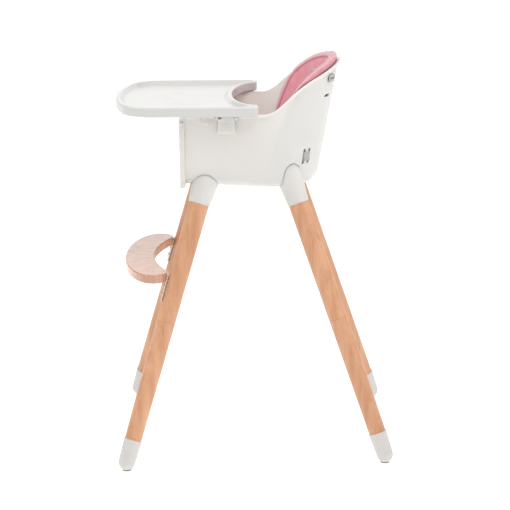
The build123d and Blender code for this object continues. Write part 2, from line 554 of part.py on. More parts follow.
def build_straps():
    slot_x, slot_z = SHOULDER_SLOT
    keepers = []
    sliders = []
    for word, side in SIDES.items():
        run = Vector(side * SHOULDER_RUN[0], SHOULDER_RUN[1], 0).normalized()
        start = (side * slot_x, SHOULDER_START_Y, 0)
        upright = Plane(origin=start, x_dir=run, z_dir=run.cross(Vector(0, 0, 1)))
        path = [(0, slot_z - STRAP_T / 2)] + SHOULDER_PATH
        pieces[f"shoulder_strap_{word}"] = ribbon(upright, path, [6, 14, 20], STRAP_WIDTH)
        middle = upright.from_local_coords((*SLIDER_AT, 0))
        top, bottom = SHOULDER_PATH[:2]
        along = upright.from_local_coords((*bottom, 0)) - upright.from_local_coords((*top, 0))
        glide = Plane(origin=middle, x_dir=upright.z_dir, z_dir=upright.z_dir.cross(along))
        sliders.append(glide * (extrude(RectangleRounded(29, 22, 4), 2.6, both=True) - Box(22, 40, 3.4)))
        outward = Vector(side * 0.361, 0.9325, -0.18).normalized()
        base = Vector(side * slot_x, 173.6, slot_z) + outward * 1.2
        keepers.append(keeper(Plane(origin=base, x_dir=outward.cross(Vector(0, 0, 1)) * -1, z_dir=outward)))
        normal = Vector(WAIST_NORMAL)
        along = Vector(-normal.Y, normal.X, 0)
        centre = Vector(WAIST_SLOT[0], WAIST_SLOT[1], 0)
        rear_slit, front_slit = centre + along * WAIST_BAR, centre - along * WAIST_BAR
        stops = [rear_slit - normal * 10, rear_slit + normal * 1.6, front_slit + normal * 1.6,
                 front_slit - normal * 26, Vector(*WAIST_END, 0)]
        level = Plane(origin=(0, 0, WAIST_SLOT[2]))
        waist = ribbon(level, [(p.X, p.Y) for p in stops], [1.5, 1.5, 20], STRAP_WIDTH, -STRAP_T)
        pieces[f"waist_strap_{word}"] = mirrored(waist, side)
    pieces["crotch_strap"] = ribbon(Plane.YZ, CROTCH_PATH, [6], STRAP_WIDTH, -STRAP_T)
    hang_y = CROTCH_PATH[0][0] - STRAP_T / 2
    below = Plane(origin=(0, hang_y, floor_z(hang_y) - 3.0), x_dir=(1, 0, 0), z_dir=(0, FLOOR_SLOPE, 1))
    keepers.append(keeper(below))
    pieces["strap_keepers"] = group(keepers)
    pieces["shoulder_strap_sliders"] = group(sliders)


build_shell()
build_sockets()
build_legs()
build_footrest()
build_tray()
build_rails_and_latches()
build_pads()
build_buckle()
build_straps()

for name, piece in pieces.items():
    export_step(piece, f"parts/{name}.step")
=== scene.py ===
import math

import bmesh
import bpy
import numpy as np
from mathutils import Matrix, Vector, noise
from mathutils.bvhtree import BVHTree


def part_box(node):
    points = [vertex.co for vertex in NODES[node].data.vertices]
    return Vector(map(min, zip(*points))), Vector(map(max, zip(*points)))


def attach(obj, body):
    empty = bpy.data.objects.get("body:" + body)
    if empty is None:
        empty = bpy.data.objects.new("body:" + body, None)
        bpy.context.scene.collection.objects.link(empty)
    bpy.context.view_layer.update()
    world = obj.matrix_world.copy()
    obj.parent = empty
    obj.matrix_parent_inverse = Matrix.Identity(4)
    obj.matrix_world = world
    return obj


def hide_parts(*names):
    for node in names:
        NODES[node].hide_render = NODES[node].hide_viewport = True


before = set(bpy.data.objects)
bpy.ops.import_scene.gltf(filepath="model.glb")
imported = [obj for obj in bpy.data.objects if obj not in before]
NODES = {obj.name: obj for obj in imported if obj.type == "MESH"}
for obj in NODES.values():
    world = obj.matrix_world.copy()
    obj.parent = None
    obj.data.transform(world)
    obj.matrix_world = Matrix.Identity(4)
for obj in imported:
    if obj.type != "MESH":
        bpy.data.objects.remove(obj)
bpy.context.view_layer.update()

SIDES = {"left": 1, "right": -1}
MM = 0.001

# The seat's own surfaces, in mm, as the CAD has them
SIDE_WIDTH, SIDE_SLOPE = 178.0, 0.178
BACK_Y, BACK_SLOPE = 176.0, 0.184
ARM_Z, BACK_START = 780.0, 30.0
PAD_OUTER, PAD_INNER = 4.1, 26.1        # the back pad's two faces, in from the shell's outer surface
SEAT_TOP, SEAT_SLOPE = 646.1, 0.054
SEAT_FRONT = -151.0
RIM = [(-200.0, 780.0), (20.0, 780.0), (60.0, 797.0), (108.0, 838.0), (155.0, 862.0), (215.0, 889.0)]
PAD_EDGE = [(26.0, 630.0), (54.0, 742.0), (85.0, 819.0), (113.0, 851.5), (149.0, 877.0), (193.0, 896.0)]
BORDER = 5.0                            # how far the back pad's bound border turns onto its faces
SEAT_BORDER = 13.0                      # how far the seat pad's border seam lies in from its edge
BACK_FACE = 16.0                        # points deeper than this are on the back pad's child side
WING_SEAM, SHOULDER_SEAM = 36.0, 76.0   # the back pad's upright seams, degrees round the back
WAIST_SEAM_Z = 744.0
SEAT_SEAM_X = 58.0                      # the seat pad's two lengthwise seams
SEAT_SLOT_HALF, SEAT_SLOT_Y, SEAT_SLOT_SEAM = 14.0, -50.0, 7.0
SEAT_FACE, SEAT_UNDERSIDE = 5.0, 24.0   # depths below the seat pad's top where its two faces begin
NO_SEAM = 99.0                          # a distance beyond the reach of any seam

# The harness webbing, in mm
STRAP_WIDTH, STRAP_T, WEBBING_T = 20.0, 1.6, 1.35
SHOULDER_START = (80.0, 178.0)
SHOULDER_RUN = (-56.0, -196.0)
SHOULDER_PATH = [(0.0, 846.2), (39.5, 846.2), (67.5, 672.0), (122.0, 650.5), (168.4, 682.9)]
WAIST_SLOT, WAIST_NORMAL, WAIST_BAR = (115.0, 118.0, 677.0), (0.637, 0.771), 8.5
WAIST_END = (47.5, -1.0)
CROTCH_PATH = [(-50.8, 607.5), (-50.8, 653.0), (-36.5, 661.3)]
RIB_PITCH, RIB_DEPTH = 2.4, 0.16
STITCH_ROWS, STITCH_HALF = (9.0, 13.0), 8.5     # back from the webbing's end, and across it

# Colours, as linear red, green and blue
PALE_BEECH, WARM_BEECH, DARK_BEECH = (0.68, 0.368, 0.212), (0.625, 0.325, 0.18), (0.54, 0.26, 0.134)
BEECH_RAY = (0.46, 0.235, 0.125)
BOARD_TINT = (0.90, 0.90, 1.06)
PINK_CLOTH, PINK_BORDER, PINK_THREAD = (0.79, 0.335, 0.395), (0.70, 0.40, 0.44), (0.56, 0.12, 0.16)
# The dark lining colour also paints the contact shadow along the shell's rim; the seam colour is painted
# groove shadow mixed with the thread's colour
DARK_LINING_AND_RIM_SHADOW, SEAM_SHADE = (0.075, 0.035, 0.04), (0.46, 0.10, 0.15)
GREY_WEBBING, GREY_THREAD = (0.42, 0.42, 0.41), (0.24, 0.24, 0.235)

# The studio, in metres, watts and radians
CAMERA_PLACE, CAMERA_LENS, CAMERA_SENSOR = (4.178, -0.0234, 1.4176), 130.6, 36.0
CAMERA_PITCH, CAMERA_YAW, CAMERA_ROLL = 0.2336, 0.0063, -0.0064
FLOOR_HALF, FLOOR_GLOW, WORLD_LIGHT = 12.0, 0.46, 0.64
LAMPS = {                               # place, target, size, power, colour
    "high": ((1.4, 0.5, 3.1), (0, 0, 0.7), (1.8, 1.8), 36, (1.0, 0.985, 0.97)),
    "front": ((0.0, -2.1, 2.9), (0, -0.2, 0.5), (1.6, 1.6), 30, (1.0, 0.99, 0.98)),
    "behind": ((-3.4, 0.7, 1.55), (0, 0, 0.75), (5.5, 1.5), 15, (1.0, 0.995, 0.985)),
    "rear": ((0.9, 2.8, 2.0), (0, 0, 0.6), (1.6, 1.6), 14, (1.0, 0.985, 0.965)),
}


# ================================================================ node helpers
def new_material(name):
    material = bpy.data.materials.new(name)
    material.use_nodes = True
    tree = material.node_tree
    shader = tree.nodes["Principled BSDF"]
    return material, tree, shader


def add_node(tree, kind, **settings):
    node = tree.nodes.new(kind)
    for key, value in settings.items():
        if key in node.inputs:
            node.inputs[key].default_value = value
        else:
            setattr(node, key, value)
    return node


def link(tree, source, output, target, name):
    tree.links.new(source.outputs[output], target.inputs[name])


def placed(tree, scale=(1, 1, 1), rotation=(0, 0, 0), location=(0, 0, 0)):
    """Object coordinates, turned, moved and stretched."""
    coordinates = add_node(tree, "ShaderNodeTexCoord")
    mapping = add_node(tree, "ShaderNodeMapping")
    mapping.inputs["Scale"].default_value = scale
    mapping.inputs["Rotation"].default_value = rotation
    mapping.inputs["Location"].default_value = location
    link(tree, coordinates, "Object", mapping, "Vector")
    return mapping


def ramp(tree, source, stops):
    """A colour ramp on a node's first output, from (position, grey or colour) stops."""
    node = add_node(tree, "ShaderNodeValToRGB")
    elements = node.color_ramp.elements
    while len(elements) < len(stops):
        elements.new(0.5)
    for element, (position, colour) in zip(elements, stops):
        element.position = position
        if isinstance(colour, (int, float)):
            colour = (colour, colour, colour)
        element.color = (*colour, 1)
    tree.links.new(source.outputs[0], node.inputs["Fac"])
    return node


def mixed(tree, factor, first, second, blend="MIX", amount=None):
    """Two colours mixed by a node's output or by a fixed amount."""
    node = add_node(tree, "ShaderNodeMix", data_type="RGBA", blend_type=blend)
    if amount is not None:
        node.inputs[0].default_value = amount
    if factor is not None:
        tree.links.new(factor, node.inputs[0])
    for socket, value in ((node.inputs[6], first), (node.inputs[7], second)):
        if isinstance(value, bpy.types.NodeSocket):
            tree.links.new(value, socket)
        else:
            socket.default_value = (*value, 1)
    return node.outputs[2]


def calc(tree, operation, first, second=None):
    node = add_node(tree, "ShaderNodeMath", operation=operation)
    for socket, value in zip(node.inputs, (first, second)):
        if isinstance(value, bpy.types.NodeSocket):
            tree.links.new(value, socket)
        elif value is not None:
            socket.default_value = value
    return node.outputs[0]


def bump(tree, shader, height, strength, distance, previous=None):
    node = add_node(tree, "ShaderNodeBump", Strength=strength, Distance=distance)
    tree.links.new(height, node.inputs["Height"])
    if previous is not None:
        tree.links.new(previous, node.inputs["Normal"])
    tree.links.new(node.outputs["Normal"], shader.inputs["Normal"])
    return node.outputs["Normal"]


# ================================================================ materials
def plastic(name, colour, roughness, grain=0.12, depth=0.0):
    """Moulded plastic: a fine spark-eroded texture, faint flow marks and slightly uneven gloss.
    depth is how much light passes through its skin."""
    material, tree, shader = new_material(name)
    shader.inputs["IOR"].default_value = 1.49
    shader.inputs["Subsurface Weight"].default_value = depth
    shader.inputs["Subsurface Radius"].default_value = (1.0, 0.92, 0.85)
    shader.inputs["Subsurface Scale"].default_value = 0.009
    broad = add_node(tree, "ShaderNodeTexNoise", Scale=9.0, Detail=3.0)
    link(tree, placed(tree), "Vector", broad, "Vector")
    darker = tuple(c * (1 - 0.035) for c in colour)
    tint = ramp(tree, broad, [(0.3, darker), (0.7, colour)])
    link(tree, tint, "Color", shader, "Base Color")
    gloss = ramp(tree, broad, [(0.25, roughness - 0.04), (0.75, roughness + 0.05)])
    link(tree, gloss, "Color", shader, "Roughness")
    fine = add_node(tree, "ShaderNodeTexNoise", Scale=1400.0, Detail=2.0)
    link(tree, placed(tree), "Vector", fine, "Vector")
    flow = add_node(tree, "ShaderNodeTexNoise", Scale=22.0, Detail=1.0)
    link(tree, placed(tree), "Vector", flow, "Vector")
    edge = add_node(tree, "ShaderNodeBevel", Radius=0.0008)
    edge.samples = 4
    first = bump(tree, shader, fine.outputs["Fac"], grain, 0.0003, edge.outputs["Normal"])
    bump(tree, shader, flow.outputs["Fac"], 0.05, 0.002, first)
    return material


def beech(name, axis, seed, tint=(1, 1, 1), coat=0.3, coat_roughness=0.3):
    """Clear-lacquered beech with its grain along axis: growth bands, fine pores and short darker rays."""
    material, tree, shader = new_material(name)
    turn = Vector(axis).rotation_difference(Vector((0, 0, 1))).to_euler()
    shift = (seed * 0.37, seed * 0.61, seed * 0.23)

    def along(stretch):
        return placed(tree, (1, 1, stretch), turn, shift)

    bands = add_node(tree, "ShaderNodeTexNoise", Scale=55.0, Detail=5.0, Roughness=0.5, Distortion=0.15)
    link(tree, along(0.035), "Vector", bands, "Vector")
    lines = add_node(tree, "ShaderNodeTexNoise", Scale=260.0, Detail=3.0, Roughness=0.6)
    link(tree, along(0.022), "Vector", lines, "Vector")
    broad = add_node(tree, "ShaderNodeTexNoise", Scale=9.0, Detail=2.0)
    link(tree, along(0.3), "Vector", broad, "Vector")
    tones = (PALE_BEECH, WARM_BEECH, DARK_BEECH)
    pale, warm, dark = (tuple(c * t for c, t in zip(tone, tint)) for tone in tones)
    base = ramp(tree, bands, [(0.28, dark), (0.5, warm), (0.72, pale)])
    fine = ramp(tree, lines, [(0.3, (0.80, 0.76, 0.72)), (0.52, (1, 1, 1)), (0.8, (1.05, 1.04, 1.03))])
    tone = mixed(tree, None, base.outputs["Color"], fine.outputs["Color"], "MULTIPLY", 0.6)
    drift = ramp(tree, broad, [(0.35, (0.93, 0.90, 0.88)), (0.65, (1.03, 1.03, 1.03))])
    tone = mixed(tree, None, tone, drift.outputs["Color"], "MULTIPLY", 1.0)
    rays = add_node(tree, "ShaderNodeTexVoronoi", Scale=520.0, Randomness=1.0)
    link(tree, along(0.11), "Vector", rays, "Vector")
    ray_mask = ramp(tree, rays, [(0.0, 1.0), (0.14, 0.7), (0.28, 0.0)])
    ray_amount = calc(tree, "MULTIPLY", ray_mask.outputs["Color"], 0.28)
    colour = mixed(tree, ray_amount, tone, BEECH_RAY)
    tree.links.new(colour, shader.inputs["Base Color"])
    gloss = ramp(tree, bands, [(0.2, 0.48), (0.8, 0.38)])
    link(tree, gloss, "Color", shader, "Roughness")
    shader.inputs["Coat Weight"].default_value = coat
    shader.inputs["Coat Roughness"].default_value = coat_roughness
    first = bump(tree, shader, lines.outputs["Fac"], 0.2, 0.0004)
    bump(tree, shader, bands.outputs["Fac"], 0.06, 0.001, first)
    return material


def fabric(name, colour, border=None, lining_and_shade=None, seam=None):
    """Soft brushed cloth: a plain weave, a slightly mottled dye and a matt sheen. The pads mark their bound
    border, their dark lining, which also paints a contact shadow along the shell's rim, and their seams,
    painted darker with groove shadow and thread colour, with point attributes that take colours of their
    own."""
    material, tree, shader = new_material(name)
    mottle = add_node(tree, "ShaderNodeTexNoise", Scale=38.0, Detail=4.0)
    link(tree, placed(tree), "Vector", mottle, "Vector")
    darker, lighter = (tuple(c * shade for c in colour) for shade in (0.93, 1.05))
    tint = ramp(tree, mottle, [(0.3, darker), (0.7, lighter)])
    cloth = tint.outputs["Color"]
    for word, other in (("border", border), ("lining_and_shade", lining_and_shade), ("seam", seam)):
        if other is not None:
            mask = add_node(tree, "ShaderNodeAttribute", attribute_name=word)
            cloth = mixed(tree, mask.outputs["Fac"], cloth, other)
    threads = []
    for direction in ("X", "Z"):
        wave = add_node(tree, "ShaderNodeTexWave", Scale=520.0, Distortion=1.5, Detail=2.0)
        wave.bands_direction = direction
        link(tree, placed(tree), "Vector", wave, "Vector")
        threads.append(wave.outputs["Fac"])
    weave = calc(tree, "MAXIMUM", *threads)
    shadow = ramp(tree, mottle, [(0.0, (0.94, 0.92, 0.92)), (1.0, (1, 1, 1))])
    cloth = mixed(tree, weave, mixed(tree, None, cloth, (0.90, 0.87, 0.87), "MULTIPLY", 1.0), cloth)
    cloth = mixed(tree, None, cloth, shadow.outputs["Color"], "MULTIPLY", 0.6)
    tree.links.new(cloth, shader.inputs["Base Color"])
    shader.inputs["Roughness"].default_value = 0.85
    shader.inputs["Specular IOR Level"].default_value = 0.25
    shader.inputs["Sheen Weight"].default_value = 0.25
    shader.inputs["Sheen Roughness"].default_value = 0.5
    fuzz = add_node(tree, "ShaderNodeTexNoise", Scale=900.0, Detail=3.0)
    link(tree, placed(tree), "Vector", fuzz, "Vector")
    first = bump(tree, shader, weave, 0.35, 0.0004)
    bump(tree, shader, fuzz.outputs["Fac"], 0.3, 0.0005, first)
    return material


def metal(name, colour, roughness):
    """Plated or turned metal with fine upright drawing lines."""
    material, tree, shader = new_material(name)
    shader.inputs["Metallic"].default_value = 1.0
    lines = add_node(tree, "ShaderNodeTexNoise", Scale=600.0, Detail=3.0)
    link(tree, placed(tree, (1, 1, 0.05)), "Vector", lines, "Vector")
    tint = ramp(tree, lines, [(0.3, tuple(c * 0.85 for c in colour)), (0.7, colour)])
    link(tree, tint, "Color", shader, "Base Color")
    gloss = ramp(tree, lines, [(0.3, roughness), (0.7, roughness + 0.12)])
    link(tree, gloss, "Color", shader, "Roughness")
    bump(tree, shader, lines.outputs["Fac"], 0.1, 0.0002)
    return material


MATERIALS = {
    "shell": plastic("shell_plastic", (0.68, 0.67, 0.645), 0.36, depth=0.9),
    "tray": plastic("tray_plastic", (0.59, 0.59, 0.58), 0.24, grain=0.04),
    "foot": plastic("foot_plastic", (0.60, 0.585, 0.565), 0.42, depth=0.2),
    "rubber": plastic("foot_rubber", (0.30, 0.30, 0.29), 0.75, grain=0.4),
    "bracket": plastic("bracket_paint", (0.66, 0.65, 0.63), 0.4, grain=0.3),
    "grey": plastic("grey_plastic", (0.42, 0.42, 0.41), 0.45, grain=0.25),
    "button": plastic("button_plastic", (0.62, 0.06, 0.075), 0.3),
    "steel": metal("zinc_steel", (0.55, 0.55, 0.54), 0.32),
    "brass": metal("insert_brass", (0.70, 0.50, 0.22), 0.3),
    "pad": fabric("pink_cloth", PINK_CLOTH, PINK_BORDER, DARK_LINING_AND_RIM_SHADOW, SEAM_SHADE),
    "thread": fabric("pink_thread", PINK_THREAD),
    "grey_thread": fabric("grey_thread", GREY_THREAD),
    "webbing": fabric("grey_webbing", GREY_WEBBING),
}


def leg_axis(name):
    """The direction of a leg, from the middle of its foot cap to the middle of its upper end."""
    low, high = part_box(f"{name}_foot_cap"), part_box(f"{name}_upper_leg")
    return ((high[0] + high[1]) - (low[0] + low[1])).normalized()


def dress():
    """Give every CAD node that stays visible its material."""
    for number, name in enumerate(("front_left", "front_right", "rear_left", "rear_right")):
        axis = leg_axis(name)
        for part in ("upper", "lower"):
            wood = beech(f"beech_{name}_{part}", axis, 3 + number * 2.3 + (part == "lower") * 1.17)
            paint(f"{name}_{part}_leg", wood)
        paint(f"{name}_leg_socket", MATERIALS["shell"])
        paint(f"{name}_foot_cap", MATERIALS["foot"])
        paint(f"{name}_foot_pad", MATERIALS["rubber"])
    paint("footrest_board", beech("beech_board", (1, 0, 0), 21.0, BOARD_TINT, 1.0, 0.2))
    for word in SIDES:
        paint(f"footrest_bracket_{word}", MATERIALS["bracket"])
        paint(f"tray_rail_{word}", MATERIALS["shell"])
        paint(f"tray_latch_{word}", MATERIALS["shell"])
        paint(f"buckle_tongue_{word}", MATERIALS["grey"])
    named = {
        "seat_shell": "shell", "tray": "tray", "buckle_body": "grey", "buckle_button": "button",
        "strap_keepers": "grey", "shoulder_strap_sliders": "grey", "leg_joint_inserts": "brass",
    }
    steel = ("buckle_spring_washer", "footrest_screws", "latch_pins", "latch_springs", "leg_joint_studs",
             "leg_top_studs", "socket_screws", "tray_rail_screws")
    for node, key in named.items():
        paint(node, MATERIALS[key])
    for node in steel:
        paint(node, MATERIALS["steel"])


def paint(node, material):
    piece = NODES[node]
    piece.data.materials.clear()
    piece.data.materials.append(material)


# ================================================================ soft pieces
def smooth_line(points):
    """A smooth curve through points (Catmull-Rom), with twelve steps between each pair."""
    points = [np.array(p, float) for p in points]
    ends = [2 * points[0] - points[1]] + points + [2 * points[-1] - points[-2]]
    line = []
    for a, b, c, d in zip(ends, ends[1:], ends[2:], ends[3:]):
        for t in np.linspace(0, 1, 12, endpoint=False):
            line.append(0.5 * (2 * b + (c - a) * t + (2 * a - 5 * b + 4 * c - d) * t ** 2
                               + (3 * b - a - 3 * c + d) * t ** 3))
    return np.array(line + [points[-1]])


def line_distance(points, line):
    """Distance from each point to a bent line."""
    best = np.full(len(points), 1e9)
    for a, b in zip(line, line[1:]):
        run = b - a
        part = np.clip(((points - a) @ run) / max(run @ run, 1e-12), 0, 1)
        best = np.minimum(best, np.linalg.norm(points - a - part[:, None] * run, axis=1))
    return best


def bucket_size(z, inset):
    """Half width and back of the seat's plan at height z, in mm."""
    return SIDE_WIDTH + SIDE_SLOPE * (z - ARM_Z) - inset, BACK_Y + BACK_SLOPE * (z - ARM_Z) - inset


def bucket_depth(points):
    """How far points, in mm, lie in from the shell's outer surface."""
    half, back = bucket_size(points[:, 2], 0.0)
    behind = np.maximum(points[:, 1] - BACK_START, 0.0)
    share = np.sqrt((points[:, 0] / half) ** 2 + (behind / (back - BACK_START)) ** 2)
    reach = np.hypot(points[:, 0], behind)
    return reach / np.maximum(share, 1e-6) * (1 - share)


def bucket_angle(points):
    """Angle round the back, in degrees: 0 where a side ends and 90 at the back's middle."""
    half, back = bucket_size(points[:, 2], 15.0)
    behind = np.maximum(points[:, 1] - BACK_START, 0.0) / (back - BACK_START)
    return np.degrees(np.arctan2(behind, np.abs(points[:, 0]) / half))


def get_points(mesh):
    flat = np.empty(len(mesh.vertices) * 3, np.float64)
    mesh.vertices.foreach_get("co", flat)
    return flat.reshape(-1, 3)


def get_normals(mesh):
    flat = np.empty(len(mesh.vertices) * 3, np.float64)
    mesh.vertices.foreach_get("normal", flat)
    return flat.reshape(-1, 3)


def set_points(mesh, points):
    mesh.vertices.foreach_set("co", np.asarray(points, np.float32).ravel())
    mesh.update()


def baked(piece):
    """Apply every modifier on a piece."""
    depsgraph = bpy.context.evaluated_depsgraph_get()
    mesh = bpy.data.meshes.new_from_object(piece.evaluated_get(depsgraph))
    piece.modifiers.clear()
    piece.data = mesh
    return piece


def soft_copy(node, name, voxel, draw_in):
    """A copy of a CAD solid with an even mesh, drawn in a little all over."""
    builder = bmesh.new()
    builder.from_mesh(NODES[node].data)
    bmesh.ops.remove_doubles(builder, verts=builder.verts, dist=1e-6)
    mesh = bpy.data.meshes.new(name)
    builder.to_mesh(mesh)
    builder.free()
    piece = bpy.data.objects.new(name, mesh)
    bpy.context.scene.collection.objects.link(piece)
    grid = piece.modifiers.new("grid", "REMESH")
    grid.mode = "VOXEL"
    grid.voxel_size = voxel * MM
    baked(piece)
    relax = piece.modifiers.new("relax", "SMOOTH")
    relax.factor = 0.5
    relax.iterations = 3
    baked(piece)
    set_points(piece.data, get_points(piece.data) - get_normals(piece.data) * draw_in * MM)
    return piece


def inflate(piece, held, most):
    """Fill a closed cover like a cushion. The held vertices stay where they are sewn, and the rest
    moves by most millimetres or less."""
    start = get_points(piece.data)
    group = piece.vertex_groups.new(name="held")
    group.add([int(i) for i in np.nonzero(held)[0]], 1.0, "REPLACE")
    cloth = piece.modifiers.new("cloth", "CLOTH")
    settings = cloth.settings
    settings.quality = 5
    settings.mass = 0.3
    settings.vertex_group_mass = "held"
    settings.tension_stiffness = 12
    settings.compression_stiffness = 12
    settings.bending_stiffness = 0.3
    settings.use_pressure = True
    settings.uniform_pressure_force = 4.0
    settings.effector_weights.gravity = 0
    cloth.collision_settings.use_collision = False
    last = 20
    cloth.point_cache.frame_start = 1
    cloth.point_cache.frame_end = last
    for frame_number in range(1, last + 1):
        bpy.context.scene.frame_set(frame_number)
    depsgraph = bpy.context.evaluated_depsgraph_get()
    filled = get_points(piece.evaluated_get(depsgraph).data)
    piece.modifiers.remove(cloth)
    bpy.context.scene.frame_set(1)
    move = filled - start
    length = np.linalg.norm(move, axis=1, keepdims=True)
    move *= np.minimum(1.0, most * MM / np.maximum(length, 1e-9))
    set_points(piece.data, start + move)


def sewn(piece, rest_distance, deep, wide, pucker):
    """Draw the cover in along its seams and gather it into small puckers beside them."""
    points, normals = get_points(piece.data), get_normals(piece.data)
    groove = deep * np.exp(-(rest_distance / wide) ** 2)
    ripple = np.array([noise.noise(Vector(p) * 95.0) + 0.5 * noise.noise(Vector(p) * 210.0) for p in points])
    fold = pucker * ripple * np.exp(-rest_distance / 12.0)
    set_points(piece.data, points + normals * ((fold - groove) * MM)[:, None])


def mark(mesh, name, values):
    attribute = mesh.attributes.new(name, "FLOAT", "POINT")
    attribute.data.foreach_set("value", values.astype(np.float32))


def step(values, edge, soft):
    """1 below edge and 0 above it, with a soft change."""
    return np.clip((edge - values) / soft + 0.5, 0, 1)


def keep_rest(piece):
    """Remember where each vertex was, so that seams can be found again on the filled cover."""
    points = get_points(piece.data)
    for axis, word in enumerate("xyz"):
        mark(piece.data, f"rest_{word}", points[:, axis] / MM)


def rest_points(piece):
    columns = []
    for word in "xyz":
        values = np.empty(len(piece.data.vertices), np.float32)
        piece.data.attributes[f"rest_{word}"].data.foreach_get("value", values)
        columns.append(values)
    return np.array(columns, float).T


def subdivided(piece):
    piece.modifiers.new("fine", "SUBSURF").levels = 1
    baked(piece)
    smooth_shaded(piece.data)


def smooth_shaded(mesh):
    for polygon in mesh.polygons:
        polygon.use_smooth = True


def run_along(path):
    """How far along a line each of its points lies."""
    return np.concatenate([[0], np.cumsum(np.linalg.norm(np.diff(path, axis=0), axis=1))])


def stitches(name, paths, surface, thread, length=3.2, pitch=4.6, radius=0.42):
    """Rows of separate thread stitches laid on a surface along paths, in mm."""
    surface_tree = BVHTree.FromObject(surface, bpy.context.evaluated_depsgraph_get())
    builder = bmesh.new()
    for path in paths:
        path = np.asarray(path, float)
        run = run_along(path)
        for start in np.arange(0, run[-1] - length, pitch):
            ends = []
            for at in (start, start + length):
                spot = Vector([np.interp(at, run, path[:, axis]) for axis in range(3)]) * MM
                place, normal, _, _ = surface_tree.find_nearest(spot)
                ends.append((place + normal * 0.1 * MM, normal))
            one_stitch(builder, ends[0][0], ends[1][0], ends[0][1], radius * MM)
    piece = finished(name, builder)
    piece.data.materials.append(MATERIALS[thread])
    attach(piece, "chair")


def one_stitch(builder, a, b, normal, radius):
    """A short length of thread from a to b, which dips into the cloth at both ends."""
    side = (b - a).cross(normal).normalized()
    rings = []
    for share, size in ((0.0, 0.35), (0.12, 0.8), (0.5, 1.0), (0.88, 0.8), (1.0, 0.35)):
        centre = a.lerp(b, share) + normal * (radius * 0.8 * math.sin(math.pi * share))
        ring = []
        for turn in range(6):
            angle = turn * math.pi / 3
            spoke = side * math.cos(angle) + normal * math.sin(angle)
            ring.append(builder.verts.new(centre + spoke * radius * size))
        rings.append(ring)
    tube(builder, rings)


def tube(builder, rings):
    """Skin a row of rings and close both ends."""
    for low, high in zip(rings, rings[1:]):
        for i in range(len(low)):
            builder.faces.new((low[i], low[i - 1], high[i - 1], high[i]))
    builder.faces.new(rings[0])
    builder.faces.new(rings[-1][::-1])


def finished(name, builder):
    """Turn a bmesh into a smooth-shaded object."""
    bmesh.ops.recalc_face_normals(builder, faces=builder.faces)
    mesh = bpy.data.meshes.new(name)
    builder.to_mesh(mesh)
    builder.free()
    smooth_shaded(mesh)
    piece = bpy.data.objects.new(name, mesh)
    bpy.context.scene.collection.objects.link(piece)
    return piece


EDGE_LINE = smooth_line(PAD_EDGE)


def back_seams(rest):
    """Distance, in mm, from each point of the back pad to its outer edge and to its nearest seam."""
    edge = line_distance(rest[:, 1:], EDGE_LINE)
    angle = bucket_angle(rest)
    reach = 0.5 * (PAD_INNER + PAD_OUTER)
    radius = SIDE_WIDTH - reach
    upright = np.minimum(np.abs(angle - WING_SEAM), np.abs(angle - SHOULDER_SEAM)) * math.pi / 180 * radius
    level = np.abs(rest[:, 2] - WAIST_SEAM_Z)
    border = np.abs(edge - BORDER)
    inside = edge > BORDER
    panels = np.where(inside, np.minimum(upright, level), NO_SEAM)
    return edge, np.minimum(border, panels)


def make_back_pad():
    """The back pad: a cover filled between its seams, bound at its edge, with a dark lining behind that also
    paints a contact shadow line where the pad meets the shell's rim.
    """
    piece = soft_copy("back_cushion", "back_pad", 4.5, 0.8)
    keep_rest(piece)
    rest = rest_points(piece)
    _, seam = back_seams(rest)
    depth = bucket_depth(rest)
    inner = depth > 17.0
    inflate(piece, (depth < 12.0) | (inner & (seam < 2.6)), 6.0)
    subdivided(piece)
    rest = rest_points(piece)
    edge, seam = back_seams(rest)
    depth = bucket_depth(rest)
    sewn(piece, np.where(depth > BACK_FACE, seam, NO_SEAM), 1.5, 2.0, 0.7)
    rim = np.interp(rest[:, 1], [p[0] for p in RIM], [p[1] for p in RIM])
    mark(piece.data, "border", step(edge, BORDER - 0.6, 1.2) * step(-depth, -5.5, 1.5))
    # Painted shadow: the dark lining reaches 2.2 mm above the shell's rim, standing in for the contact
    # shadow where the pad meets the shell
    mark(piece.data, "lining_and_shade", step(depth, 9.0, 1.0) * step(rest[:, 2] - rim, 2.2, 0.8))
    # Painted shade: the back pad's seam grooves are darkened, with thread colour and groove shadow together
    shade = np.clip(1.25 - np.abs(edge - BORDER) / 1.5, 0, 0.85)
    mark(piece.data, "seam", np.where(depth > BACK_FACE, shade, 0.0))
    piece.data.materials.clear()
    piece.data.materials.append(MATERIALS["pad"])
    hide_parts("back_cushion")
    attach(piece, "chair")
    for word, side in SIDES.items():
        stitches(f"back_pad_stitches_{word}", [border_row(side)], piece, "thread")


def border_row(side):
    """The line of stitches just inside the back pad's border on one side, from above the seat pad."""
    path = []
    inset = BORDER + 1.6
    for (y, z), (next_y, next_z) in zip(EDGE_LINE, EDGE_LINE[1:]):
        run = np.array([next_y - y, next_z - z])
        run /= np.linalg.norm(run)
        y, z = y + run[1] * inset, z - run[0] * inset
        half, back = bucket_size(z, PAD_INNER)
        share = max(y - BACK_START, 0.0) / (back - BACK_START)
        if z >= 655 and share < 1:
            path.append((side * half * math.sqrt(1 - share ** 2), y, z))
    return path


